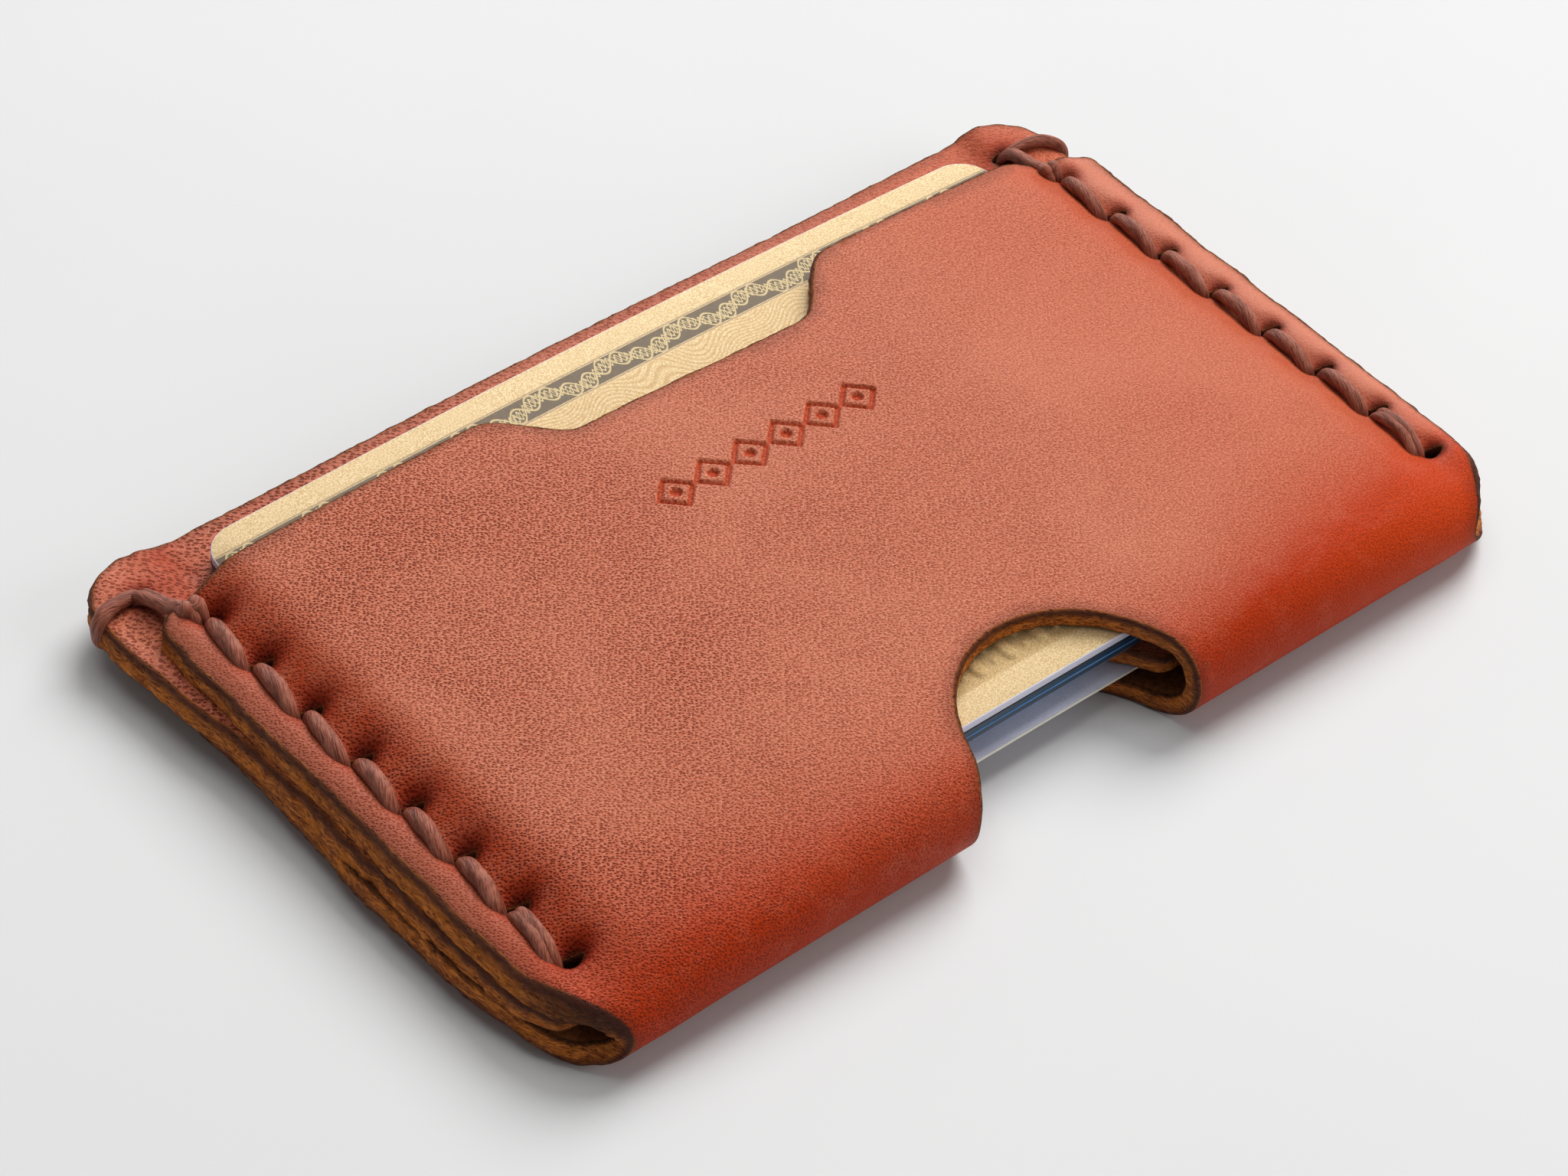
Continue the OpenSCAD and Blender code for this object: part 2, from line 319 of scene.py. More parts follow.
def sheet(name, rims, points, surface, materials, shading=None):
    """A closed sheet of leather, plastic or paper.

    surface(points, depth) turns pattern points into places, at depth 0 on the outer face and 1 on
    the inner one. The materials are those of the outer face, the cut edge and the inner face."""
    pattern, triangles = triangulate([rim.points for rim in rims], points)
    count = len(pattern)
    inner = pattern.copy()
    corner = np.zeros(count)
    layers = [(pattern, 0.0, corner), (inner, 1.0, np.zeros(count))]
    faces = triangles.tolist()
    slots = [0] * len(triangles)

    total = 2 * count
    start = 0
    for rim in rims:
        size = len(rim.points)
        normal = outward(rim.points)
        slant = np.broadcast_to(rim.slant, (size,))[:, None]
        own = np.arange(start, start + size)
        corner[own] = rim.profile[0][2]
        rows = [own]
        for outset, depth, bevel in rim.profile[1:-1]:
            where = rim.points + normal * (outset + slant * depth)
            if rim.rough:
                layered = np.column_stack([0.4 * where, np.full(size, depth * 2.4)])
                fuzz = waves(layered, 0.9, rim.seed) + 0.6 * waves(layered, 0.45, rim.seed + 1)
                body = math.sin(math.pi * depth) ** 0.5
                where = where + normal * (rim.rough * body * fuzz)[:, None]
            layers.append((where, depth, np.full(size, bevel)))
            rows.append(np.arange(total, total + size))
            total += size
        inner[own] = rim.points + normal * (rim.profile[-1][0] + slant)
        rows.append(own + count)
        for upper, lower in zip(rows, rows[1:]):
            quads = np.roll(upper, -1), upper, lower, np.roll(lower, -1)
            faces += np.stack(quads, axis=1).tolist()
            slots += [1] * size
        start += size
    faces += (triangles[:, ::-1] + count).tolist()
    slots += [2] * len(triangles)

    flat = np.vstack([layer[0] for layer in layers])
    depth = np.concatenate([np.full(len(where), level) for where, level, _ in layers])
    values = {"bevel": np.concatenate([layer[2] for layer in layers]), "depth": depth}
    if shading:
        values.update(shading(flat))
    piece = make_object(name, surface(flat, depth), faces, materials, slots, values)
    place = piece.data.attributes.new("pattern", "FLOAT_VECTOR", "POINT")
    place.data.foreach_set("vector", np.column_stack([flat, depth]).astype(np.float32).ravel())
    return piece


# ---------------- leather surfaces


def hole_height(index):
    return FIRST_HOLE_H + HOLE_PITCH * index


def nearest_hole(h):
    """Height of the stitch hole nearest to each h."""
    index = np.clip(np.round((h - FIRST_HOLE_H) / HOLE_PITCH), 0, HOLE_COUNT - 1)
    return hole_height(index)


def bow(x):
    """How far the cards' middle stands above their side edges."""
    return BOW * (1 - np.minimum(np.abs(x) / CARD_HALF_W, 1) ** 2)


def pull(x, h):
    """How deep the thread draws the leather in: a groove along the seam with a dip at each hole."""
    side = np.sign(x)
    hole_h = nearest_hole(h)
    at_hole = hump(h, hole_h, 1.5)
    width = 0.95 + 0.4 * at_hole
    line = SEAM_X * side - 0.1 + 0.75 * at_hole
    groove = (0.42 + 0.16 * at_hole) * hump(x, line, width)
    deep = np.where(side > 0, 0.5, 0.85)
    broad = np.where(side > 0, 0.9, 1.35)
    dip = deep * hump(x, SEAM_X * side + HOLE_SHIFT + 0.25, broad) * hump(h, hole_h, 0.8 * broad)
    ends = step(FIRST_HOLE_H - 2.0, FIRST_HOLE_H - 0.3, h)
    return (groove + dip) * ends


def front_top(x, h):
    """Height of the front panel's grain face, without the pull of the thread."""
    reach = np.abs(x)
    at_hole = hump(h, nearest_hole(h), 1.7) * step(4.0, 7.5, h)
    shoulder = 41.2 - 6.5 * (1 - step(0.5, 7.5, h))
    foot = 46.9 - 0.25 * at_hole + 1.5 * (1 - step(1.0, 8.0, h))
    middle = FRONT_TOP + bow(x) - 0.42 * (1 - step(3.0, 14.0, h))
    along = np.clip((reach - shoulder) / (foot - shoulder), 0, 1) ** 1.3
    fall = step(0, 1, along)
    flange = SEAM_TOP + 0.16 * hump(reach, 49.0, 1.1) - 0.4 * step(49.3, FRONT_HALF_W, reach)
    ripple = 0.07 * np.sin(2 * math.pi * (h - FIRST_HOLE_H) / HOLE_PITCH + math.pi / 2)
    ripple = ripple * hump(reach, 45.2, 2.0) * step(6.0, 9.0, h)
    return middle + (flange - middle) * fall - ripple


def back_low(x, h):
    """Height of the back panel's grain face, which the holder lies on."""
    reach = np.abs(x)
    raised = SEAM_BACK - 0.85 * (1 - step(2.5, 9.0, h))
    edge = 0.3 * step(49.5, BACK_HALF_W, reach)
    return raised * step(42.0, 47.0, reach) + edge


def divider_top(x, h):
    """Height of the divider's grain face."""
    reach = np.abs(x)
    middle = DIVIDER_Z + LEATHER + bow(x)
    seam = SEAM_FRONT - 0.25 * step(50.0, DIVIDER_HALF_W, reach)
    free = step(FRONT_H - 2.5, DIVIDER_H, h)
    curl = free * (0.9 * step(18.0, 50.0, x) + 0.25 * step(30.0, 50.0, -x))
    return middle + (seam - middle) * step(43.9, 46.7, reach) + curl


def fold_angle(s):
    """How far the leather has turned at arc distance s from the fold's crest."""
    return np.clip(s / ARC, -1, 1) * math.pi / 2


def fold_height(s):
    """Height above the fold of a place at arc distance s from the fold's crest."""
    return FOLD_R * (1 - np.cos(fold_angle(s))) + np.maximum(np.abs(s) - ARC, 0)


def arc_distance(h):
    """Distance from the fold's crest, along the leather, of a place at height h."""
    h = np.asarray(h, float)
    angle = np.arccos(np.clip(1 - h / FOLD_R, 0, 1))
    return np.where(h < FOLD_R, angle * ARC / (math.pi / 2), ARC + h - FOLD_R)


MARK_H = 40.3
MARK_X = 0.6
MARK_CELL = 4.0
MARK_CELLS = 6
MARK_HALF_H = 1.75
MARK_DEPTH = 0.34


def tooled_mark(x, h):
    """How far each place is sunk, 0 to 1, by a plain tooled border: lozenges with a dot in each."""
    u = x - MARK_X
    v = h - MARK_H
    half = MARK_CELL * MARK_CELLS / 2
    cell = np.abs((u + half) % MARK_CELL - MARK_CELL / 2)
    lozenge = np.abs(cell / (MARK_CELL / 2 - 0.2) + np.abs(v) / MARK_HALF_H - 1) * 1.25
    dot = np.maximum(np.hypot(cell, v) - 0.3, 0)
    nearest = np.minimum(lozenge, dot)
    return (1 - step(0.12, 0.27, nearest)) * (np.abs(u) < half)


def shell_surface(points, depth):
    """Places on the outer leather, from pattern points (x, distance from the fold's crest)."""
    x, s = points.T
    h = fold_height(s)
    along, out = np.cos(fold_angle(s)), np.sin(fold_angle(s))
    top, low = front_top(x, h), back_low(x, h)
    middle, half = (top + low) / 2, (top - low) / 2
    drawn = pull(x, h)
    mark = MARK_DEPTH * tooled_mark(x, h) * (s > ARC)
    inset = LEATHER * depth + ((1 - depth) * (drawn + mark) + depth * 0.45 * drawn) * np.abs(out)
    sag = 0.05 * waves(points, 26.0, 11) * step(-0.2, 0.2, out)
    return np.column_stack([x, FOLD_Y + h + inset * along, middle + (half - inset + sag) * out])


def free_hole_x(x):
    """Where the divider's free stitch hole is, on each x's side."""
    return np.where(x > 0, FREE_HOLE_X[1], FREE_HOLE_X[-1])


def divider_surface(points, depth):
    """Places on the divider, from pattern points (x, h)."""
    x, h = points.T
    dip = 0.55 * hump(x, free_hole_x(x), 1.2) * hump(h, FREE_HOLE_H, 0.9)
    z = divider_top(x, h) - LEATHER * depth - dip * (1 - depth)
    return np.column_stack([x, h + FOLD_Y, z])


# ---------------- leather outlines


def tapered(half_w, h):
    """Half width where the side edge curves in towards the fold."""
    drop = np.clip(CORNER_H - h, 0, None)
    return half_w - CORNER_R + np.sqrt(CORNER_R ** 2 - drop ** 2)


def shell_half_width(s, side):
    """Half width of the outer leather's grain face at arc distance s from the fold.

    The two ends of the fold are worn to different shapes, the right one rounder."""
    h = fold_height(s)
    front = FRONT_HALF_W - BEVEL - 0.35
    back = BACK_HALF_W - BEVEL - 0.7 * step(26.0, 38.0, h)
    width = tapered(front + (back - front) * (1 - np.sin(fold_angle(s))) / 2, h)
    if side < 0:
        return width + 0.2 * hump(s, 0.0, 4.6) - 0.9 * hump(s, -8.0, 6.0)
    return width - hump(s, 0.0, 4.6) + step(8.0, 56.0, h) * (s > 0)


def front_edge_height(x):
    """Height of the front panel's top edge, with the notch in it."""
    edge = FRONT_H - FRONT_CROWN * (np.abs(x) / FRONT_HALF_W) ** 14
    left = step(THUMB_X - 18.7, THUMB_X - 11.6, x)
    right = 1 - step(THUMB_X + 12.4, THUMB_X + 20.2, x)
    depth = NOTCH_DEPTH + NOTCH_SLOPE * step(THUMB_X - 10, THUMB_X + 8, x)
    return edge - BEVEL - depth * np.minimum(left, right)


def hand_cut(parts, times, seed):
    """An outline made of these parts, with soft corners and side edges that wander a little."""
    outline = relax(resample(np.vstack(parts), 0.3), times)
    wander = 0.09 * waves(outline, 9.0, seed) + 0.04 * waves(outline, 3.0, seed + 1)
    wander = wander * step(42, 46, np.abs(outline[:, 0]))
    return outline + outward(outline) * wander[:, None]


def hole_loop(x, h):
    """A slit for the thread, clockwise, that lies across the seam."""
    angles = -np.linspace(0, 2 * math.pi, 18, endpoint=False)
    u = HOLE_LENGTH / 2 * np.cos(angles)
    v = HOLE_WIDTH / 2 * np.sin(angles)
    across = x + u * math.cos(HOLE_TILT) - v * math.sin(HOLE_TILT)
    along = h + u * math.sin(HOLE_TILT) + v * math.cos(HOLE_TILT)
    return np.column_stack([across, along])


def shell_rims():
    """The outer leather's outline, its thumb hole and its stitch holes."""
    back_s, front_s = arc_distance([BACK_H - BEVEL, FRONT_H - FRONT_CROWN - BEVEL])
    side_s = np.linspace(-back_s, front_s, 300)
    right = np.column_stack([shell_half_width(side_s, 1), side_s])
    left = np.column_stack([-shell_half_width(side_s, -1), side_s])[::-1]
    top_x = np.linspace(right[-1][0], left[0][0], 400)[1:-1]
    top = np.column_stack([top_x, arc_distance(front_edge_height(top_x))])
    outline = hand_cut([right, top, left], 6, 24)
    x, s = outline.T
    h = fold_height(s)
    on_side = step(FRONT_HALF_W - 14, FRONT_HALF_W - 9, np.abs(x))
    front_slant = (0.55 + 0.35 * (1 - step(12, 45, h)) + 0.3 * (1 - step(2, 10, h))) * on_side
    slant = np.where(s > 0, front_slant, -0.35) * on_side * (h < FRONT_H - 3)
    for _ in range(20):
        slant = (np.roll(slant, 1) + slant + np.roll(slant, -1)) / 3

    reach = float(arc_distance(THUMB_R + BEVEL - 0.001))
    hole_s = reach * np.sin(np.linspace(-math.pi / 2, math.pi / 2, 160))
    hole_w = np.sqrt(np.maximum((THUMB_R + BEVEL) ** 2 - fold_height(hole_s) ** 2, 0))
    far_side = np.column_stack([THUMB_X - hole_w * (1 - 0.12 * step(0, 7, hole_s)), hole_s])
    near_side = np.column_stack([THUMB_X + hole_w * 0.91, hole_s])[::-1]
    thumb = relax(resample(np.vstack([far_side, near_side]), 0.4), 2)

    rims = [Rim(outline, CUT_EDGE, slant, 0.1, 21), Rim(thumb, CUT_EDGE, 0.0, 0.06, 23)]
    for side in (-1, 1):
        for index in range(HOLE_COUNT - 2):  # the next one is hidden under the doubled thread
            x, h = hole_loop(side * SEAM_X + HOLE_SHIFT, hole_height(index)).T
            front = np.column_stack([x, arc_distance(h)])
            rims += [Rim(front, HOLE_EDGE), Rim(front[::-1] * [1, -1], HOLE_EDGE)]
    return rims


def divider_rims():
    """The divider's outline, the thumb hole's arc in its lower edge and its stitch holes."""
    low = 4.8
    half = DIVIDER_HALF_W - BEVEL - 0.35
    top = DIVIDER_H - BEVEL - 0.3
    hole_r = THUMB_R + BEVEL

    def flank(corner, wider):
        """The right side and its top corner, upwards. A cut by hand is a little wider at one."""
        side_h = np.linspace(low, top - corner, 200)
        reach = tapered(half, side_h) + wider * step(38, 57, side_h)
        turn = np.linspace(0, math.pi / 2, 24)[1:]
        corner_x = half + wider - corner + corner * np.cos(turn)
        corner_h = top - corner + corner * np.sin(turn)
        return np.column_stack([np.append(reach, corner_x), np.append(side_h, corner_h)])

    cut = math.acos(low / hole_r)
    arc = np.linspace(-cut, cut, 80)
    thumb = np.column_stack([THUMB_X + hole_r * np.sin(arc), hole_r * np.cos(arc)])
    outline = hand_cut([flank(6.2, 0.1), flank(4.8, 1.5)[::-1] * [-1, 1], thumb], 5, 34)
    x, h = outline.T
    on_side = step(40, 46, np.abs(x)) * (1 - step(top - 6, top - 1, h))
    rims = [Rim(outline, CUT_EDGE, 0.75 * on_side * step(4, 20, h), 0.1, 31)]
    for side in (-1, 1):
        holes = [(side * SEAM_X + HOLE_SHIFT, hole_height(i)) for i in range(HOLE_COUNT - 1)]
        for x, h in [*holes, (FREE_HOLE_X[side], FREE_HOLE_H)]:
            rims.append(Rim(hole_loop(x, h), HOLE_EDGE))
    return rims


def filled(rims, spacing, *finer):
    """Interior pattern points: a lattice, then a finer one for each (spacing, is_there)."""
    loops = [rim.points for rim in rims]
    low, high = loops[0].min(axis=0), loops[0].max(axis=0)
    layers = [(spacing, lambda points: np.ones(len(points), bool)), *finer]
    chosen = []
    for level, (gap, is_there) in enumerate(layers):
        points = lattice(low, high, gap)
        points = points[is_there(points)]
        for _, is_finer in layers[level + 1:]:
            points = points[~is_finer(points)]
        points = points[inside(points, loops)]
        chosen.append(points[clear_of(points, loops, 0.65 * gap)])
    return np.vstack(chosen)


def along_seam(points):
    """Along the seams of both panels."""
    return (np.abs(points[:, 0]) > 43.6) & (np.abs(points[:, 1]) > ARC - 1)


def under_mark(points):
    """Where the tooled border is, on the pattern."""
    away = np.abs(points - [MARK_X, ARC + MARK_H - FOLD_R])
    return (away < [MARK_CELL * MARK_CELLS / 2 + 0.3, MARK_HALF_H + 0.4]).all(axis=1)


def leather_shading(points, h, s=None):
    """Burnish and painted light along the fold, a deeper colour beside the seams, the tooled lines,
    the dark halo round each hole and painted shade at its mouth.

    s is the distance from the fold's crest on the outer leather and None on the divider."""
    x = points[:, 0]
    reach = np.abs(x)
    zero = np.zeros(len(x))
    values = {"seam": hump(reach, 45.2, 2.8) * step(2.0, 9.0, h)}
    if s is None:
        distance = np.hypot(x - free_hole_x(x) - 0.2, h - FREE_HOLE_H)
        values.update(halo=hump(distance, 0, 1.7), pit=hump(distance, 0, 0.9),
                      flange=zero, burnish=zero, tooled=zero)
    else:
        across = (x - SEAM_X * np.sign(x) - HOLE_SHIFT - 0.3) / 1.2
        distance = np.hypot(across, h - nearest_hole(h)) * np.where(x > 0, 1.2, 0.85)
        # Along the fold: burnish mixed with painted light. The mask is stronger at the right end,
        # which is painted lighter where light reaches it. A band at the left end is painted darker as
        # shade.
        crest = hump(s, 3.0, 6.0) * (0.55 + 0.2 * step(-20, 40, x))
        crest = crest + 0.75 * hump(s, 2.0, 9.0) * step(5, 46, x)
        crest = crest + 0.32 * hump(s, 5.0, 11.0) * (1 - step(-46, -4, x))
        values.update(
            halo=hump(distance, 0, 1.35), pit=hump(distance, 0, 0.8),
            flange=step(47.3, 48.6, reach) * step(5.0, 9.0, h),
            burnish=np.clip(crest + 0.5 * hump(s, -2.0, 4.5), 0, 1),
            tooled=tooled_mark(x, h) * (s > ARC))
    return values


# ---------------- materials


def srgb(*display):
    """Linear colour from 0-255 display values."""
    shares = [value / 255 for value in display]
    return (*(v / 12.92 if v <= 0.04045 else ((v + 0.055) / 1.055) ** 2.4 for v in shares), 1.0)


class Socket:
    """A node's output that arithmetic turns into Math nodes."""

    def __init__(self, paint, output):
        self.paint = paint
        self.output = output

    def __add__(self, other):
        return self.paint.math("ADD", self, other)

    def __sub__(self, other):
        return self.paint.math("SUBTRACT", self, other)

    def __mul__(self, other):
        return self.paint.math("MULTIPLY", self, other)

    def __rsub__(self, other):
        return self.paint.math("SUBTRACT", other, self)

    def __abs__(self):
        return self.paint.node("Math", 0, {0: self}, operation="ABSOLUTE")

    __radd__ = __add__
    __rmul__ = __mul__

    def sine(self):
        return self.paint.node("Math", 0, {0: self}, operation="SINE")

    def capped(self):
        """Not more than 1."""
        return self.paint.node("Math", 0, {0: self, 1: 1.0}, operation="MINIMUM")

    def ramp(self, low, high, to_low=0.0, to_high=1.0):
        """Goes smoothly from to_low at low to to_high at high."""
        inputs = {"Value": self, "From Min": low, "From Max": high}
        inputs.update({"To Min": to_low, "To Max": to_high})
        return self.paint.node("MapRange", "Result", inputs, interpolation_type="SMOOTHSTEP")

    def fall(self, low, high):
        return self.ramp(low, high, to_low=1.0, to_high=0.0)


class Paint:
    """A material being made: its node tree, its colour so far and short forms of the nodes.

    Colours are 0-255 display values. The shader's own settings are given by name."""

    def __init__(self, name, follows_pattern=False, **settings):
        self.material = bpy.data.materials.new(name)
        self.material.use_nodes = True
        self.tree = self.material.node_tree
        self.shader = self.tree.nodes["Principled BSDF"]
        for label, value in settings.items():
            self.shader.inputs[label.replace("_", " ")].default_value = value
        if follows_pattern:
            self.dimensions = "2D"
            self.millimetres = self.node("Attribute", "Vector", {}, attribute_name="pattern")
        else:
            self.dimensions = "3D"
            self.millimetres = self.node("TexCoord", "Object", {})
            self.millimetres = self.drawn_out(MM, MM, MM)

    def node(self, kind, output, inputs, **options):
        """Adds a node with these options and inputs, and gives one of its outputs."""
        node = self.tree.nodes.new("ShaderNode" + kind)
        for label, value in options.items():
            setattr(node, label, value)
        for label, value in inputs.items():
            self.plug(value, node.inputs[label])
        return Socket(self, node.outputs[output])

    def plug(self, value, target):
        if isinstance(value, Socket):
            self.tree.links.new(value.output, target)
        else:
            target.default_value = value

    def drawn_out(self, x, y, z=1.0, turn=0.0):
        """Coordinates in millimetres, drawn out by these factors along axes turned by an angle."""
        inputs = {"Vector": self.millimetres, "Scale": (x, y, z), "Rotation": (0, 0, turn)}
        return self.node("Mapping", "Vector", inputs, vector_type="TEXTURE")

    def axis(self, name, vector=None):
        return self.node("SeparateXYZ", name, {0: vector or self.millimetres})

    def math(self, operation, a, b=0.0):
        return self.node("Math", 0, {0: a, 1: b}, operation=operation)

    def noise(self, scale, detail=2.0, vector=None, roughness=0.5, warp=0.0):
        inputs = {"Scale": scale, "Detail": detail, "Roughness": roughness, "Distortion": warp}
        inputs["Vector"] = vector or self.millimetres
        return self.node("TexNoise", "Fac", inputs, noise_dimensions=self.dimensions)

    def cells(self, scale, vector=None, randomness=1.0, output="Distance"):
        inputs = {"Scale": scale, "Randomness": randomness, "Vector": vector or self.millimetres}
        return self.node("TexVoronoi", output, inputs, voronoi_dimensions=self.dimensions)

    def value(self, name):
        return self.node("Attribute", "Fac", {}, attribute_name=name)

    def mix(self, share, a, b):
        a, b = (srgb(*color) if isinstance(color, tuple) else color for color in (a, b))
        return self.node("Mix", 2, {0: share, 6: a, 7: b}, data_type="RGBA")

    def base(self, share, a, b):
        """Starts the colour between two others, by this share."""
        self.color = self.mix(share, a, b)

    def coat(self, share, color):
        """Lays a colour over the colour so far, by this share."""
        self.color = self.mix(share, self.color, color)

    def worn(self, wear, smooth, rough, height, relief):
        return self.finish(wear.ramp(0.3, 0.7, smooth, rough), height, relief)

    def finish(self, roughness, height=None, relief=0.0):
        """Connects colour, roughness and a bump whose height of 1 stands for relief millimetres."""
        self.plug(self.color, self.shader.inputs["Base Color"])
        self.plug(roughness, self.shader.inputs["Roughness"])
        if height is not None:
            bump = {"Strength": 1.0, "Distance": relief * MM, "Height": height}
            self.plug(self.node("Bump", "Normal", bump), self.shader.inputs["Normal"])
        return self.material


def leather_grain(name, light, dark, crater, deep, burnished, pore_gap, pore_length, pore_size):
    """Vegetable-tanned grain: pores in shallow craters, mottled colour with painted sheen, burnish
    and painted light on the fold, dark halos.
    """
    paint = Paint(name, follows_pattern=True, Specular_IOR_Level=0.24)
    pores_at = paint.drawn_out(pore_length * pore_gap, pore_gap, turn=math.radians(-40))
    near = paint.cells(1.0, pores_at, 0.85)
    chance = paint.axis("X", paint.cells(1.0, pores_at, 0.85, "Color"))
    cloud = paint.noise(0.05, 3.0, warp=0.4)
    patch = paint.noise(0.42, 4.0, roughness=0.6)
    fine = paint.noise(5.5, 3.0, roughness=0.65)
    x = paint.axis("X")
    burnish = (paint.value("burnish") * patch.ramp(0.2, 0.62, 0.85, 1.1)).capped()
    flange = paint.value("flange")
    openness = x.ramp(-46, 30, 1.0, 0.3) * cloud.ramp(0.3, 0.7, 1.15, 0.7)
    openness = openness * (1.0 - flange * 0.4) * (1.0 - burnish * 0.25)
    blurred = near + fine * 0.3 - chance * 0.3
    pore = blurred.fall(pore_size, pore_size + 0.24) * openness
    hollow = (near + fine * 0.2).fall(0.2, 0.65) * openness

    # Base mottle between the dark and light colours. Both are pinkish with painted sheen over the
    # leather's own orange-red.
    paint.base((cloud * 0.5 + patch * 0.5).ramp(0.25, 0.75), dark, light)
    # Fine mottle: the deeper crater colour in the low spots, and a pinkish-light speckle on the bump
    # tops that is a painted sparkle of sheen.
    paint.coat(fine.ramp(0.36, 0.56, 0.5, 0.0), crater)
    paint.coat(fine.ramp(0.52, 0.66, 0.0, 0.4), (232, 158, 124))
    paint.coat(x.ramp(12, 44, 0.0, 0.34), (190, 84, 50))
    # Flange colour: painted sheen on the flat band outside the stitches, lighter and pinker on the
    # right, darker on the left as painted shade.
    worn = paint.mix(x.ramp(-6, 6), (158, 86, 64), (196, 122, 98))
    paint.coat(flange * 0.75, worn)
    seam = paint.value("seam") * patch.ramp(0.25, 0.7, 0.35, 0.75)
    seam = (seam * x.ramp(-6, 6, 1.3, 0.8)).capped()
    paint.coat(seam, crater)
    paint.coat(hollow * 0.6, crater)
    # On the fold: the saturated burnished colour where no sheen is painted, a lighter orange painted
    # at the lit right end, and dark flecks.
    paint.coat(burnish, burnished)
    paint.coat(burnish * x.ramp(18, 46, 0.0, 0.6), (206, 66, 8))
    paint.coat(burnish * fine.ramp(0.4, 0.6, 0.5, 0.0), deep)
    paint.coat(paint.value("tooled") * 0.75, burnished)
    paint.coat(pore * 0.6, deep)
    halo = (paint.value("halo") * fine.ramp(0.3, 0.7, 0.7, 1.3)).capped()
    paint.coat(halo * 0.85, (150, 30, 2))
    # Near black at the mouth of each stitch hole: painted shade of the hole.
    pit = (paint.value("pit") * fine.ramp(0.3, 0.7, 0.9, 1.5)).capped()
    paint.coat(pit * 0.92, (40, 6, 3))
    paint.coat((paint.value("bevel") * 1.1).capped() * 0.8, (84, 36, 20))

    roughness = patch.ramp(0.3, 0.7, 0.48, 0.56) + pore * 0.12 + burnish * 0.12
    pebble = paint.noise(2.3, 2.0)
    height = fine * 0.4 + pebble * 0.45 - hollow * 0.45 - pore * 0.6
    return paint.finish(roughness, height, 0.085)


def leather_edge(name, light, dark):
    """Cut edge: fibres in golden brown with dark gaps, a burnished dark corner, and painted shade in
    the crevices between layers and near the fold.
    """
    paint = Paint(name, Specular_IOR_Level=0.3)
    fibres_at = paint.drawn_out(0.9, 1.8, 0.32)
    fibres = paint.noise(1.5, 5.0, fibres_at, 0.72, 0.8)
    clumps = paint.noise(0.5, 3.0)
    flecks = paint.cells(2.2, fibres_at)
    paint.base(fibres.ramp(0.38, 0.64), dark, light)
    paint.coat(clumps.ramp(0.45, 0.7, 0.0, 0.6), (214, 122, 34))
    paint.coat(flecks.ramp(0.06, 0.34, 0.75, 0.0), (60, 26, 8))
    depth = paint.value("depth")
    # Darker towards the inner face: painted shade in the crevice where the cut edge meets the next
    # layer.
    paint.coat(depth.ramp(0.8, 0.98, 0.0, 0.85), (34, 14, 6))
    x, y, z = (paint.axis(name) for name in "XYZ")
    # Painted shade on the upper layers' cut edge at the ends of the fold, fading away from the fold.
    fold_edge_shade = y.ramp(FOLD_Y + 2.0, FOLD_Y + 11.0, 0.85, 0.0) * (z + clumps).ramp(3.6, 5.6)
    fold_edge_shade = fold_edge_shade * abs(x).ramp(38.0, 43.0)
    paint.coat(fold_edge_shade, (36, 14, 8))
    paint.coat(paint.value("bevel") * 0.92, (70, 32, 22))
    height = fibres * 0.8 + flecks.ramp(0.06, 0.4) * 0.5
    return paint.worn(fibres, 0.8, 0.62, height, 0.28)


def leather_flesh(name):
    """Inner face: suede-like, matt and darker."""
    paint = Paint(name, Specular_IOR_Level=0.15)
    nap = paint.noise(2.2, 5.0, roughness=0.75)
    patch = paint.noise(0.3, 3.0)
    paint.base((nap * 0.6 + patch * 0.4).ramp(0.35, 0.65), (92, 50, 26), (150, 92, 52))
    return paint.finish(0.92, nap, 0.15)


def waxed_thread():
    """Waxed linen: fibres along the lay, with painted shade in the valleys between the plies."""
    paint = Paint("waxed_thread", Specular_IOR_Level=0.45)
    uv = paint.node("UVMap", "UV", {}, uv_map="lay")
    lay = paint.node("Mapping", "Vector", {"Vector": uv, "Scale": (1.2, 34.0, 1.0)})
    fibres = paint.noise(1.0, 4.0, lay, 0.6, 0.3)
    patch = paint.noise(0.6, 3.0)
    paint.base(fibres.ramp(0.34, 0.66), (110, 50, 34), (168, 100, 78))
    # Painted shade in the valleys between the plies.
    paint.coat(paint.value("valley") * 0.6, (66, 20, 10))
    paint.coat(patch.ramp(0.48, 0.75, 0.0, 0.4), (184, 122, 102))
    return paint.worn(patch, 0.42, 0.58, fibres, 0.11)


# The light and dark grain colours are pinkish with painted sheen. The crater, deep and burnished
# colours are nearer the leather's own orange-red.
GRAIN = leather_grain(
    "shell_grain", (192, 117, 89), (178, 99, 73), (166, 58, 22), (98, 26, 8),
    (176, 50, 4), 0.24, 1.4, 0.1)
DIVIDER_GRAIN = leather_grain(
    "divider_grain", (206, 122, 94), (186, 98, 72), (160, 60, 30), (60, 18, 8),
    (140, 40, 18), 0.36, 1.6, 0.14)
EDGE = leather_edge("cut_edge", (222, 130, 52), (136, 66, 20))
FLESH = leather_flesh("flesh_side")
THREAD = waxed_thread()


# ---------------- leather pieces


def make_shell():
    rims = shell_rims()
    points = filled(rims, 1.15, (0.4, along_seam), (0.15, under_mark))

    def shading(flat):
        return leather_shading(flat, fold_height(flat[:, 1]), flat[:, 1])

    piece = sheet("leather_shell", rims, points, shell_surface, [GRAIN, EDGE, FLESH], shading)
    attach(piece, "holder", "outer_shell")


